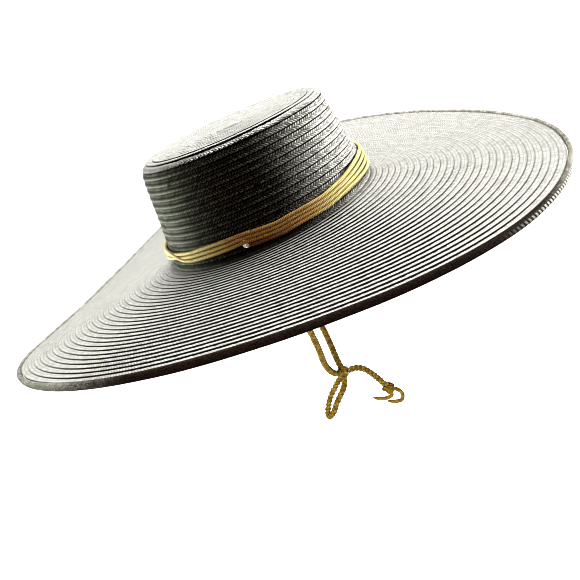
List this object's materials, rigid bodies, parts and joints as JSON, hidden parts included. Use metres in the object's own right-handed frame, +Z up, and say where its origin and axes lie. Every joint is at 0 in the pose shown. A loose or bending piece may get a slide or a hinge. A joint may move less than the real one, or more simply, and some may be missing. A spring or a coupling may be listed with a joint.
{
  "type": "sun hat",
  "caption": "Wide-brimmed straw sun hat with an oval flat-topped crown, a waved brim with a rolled edge, a cord band and a chin cord tied in a loop.",
  "frame": {"origin": "middle of the head opening, at the height where crown and brim meet", "axes": "+Z up along the crown's axis, +X towards the wearer's front, +Y towards the wearer's left"},
  "size_m": [0.5226, 0.5226, 0.3169],
  "materials": {
    "straw": "woven natural straw, matte",
    "edge_straw": "rolled and stitched straw, matte",
    "band_cord": "ribbed yellow cord, satin",
    "chin_cord": "plaited golden olive cord, matte"
  },
  "bodies": {
    "root": {"crown": "straw", "brim": "straw", "edge_roll": "edge_straw", "band_cord_upper": "band_cord", "band_cord_middle": "band_cord", "band_cord_lower": "band_cord", "band_cord_front": "band_cord", "chin_cord_right": "chin_cord", "chin_cord_left": "chin_cord", "chin_knot": "chin_cord", "chin_loop": "chin_cord", "chin_free_end": "chin_cord", "end_knot": "chin_cord", "tail_long": "chin_cord", "tail_short": "chin_cord"}
  },
  "joints": []
}
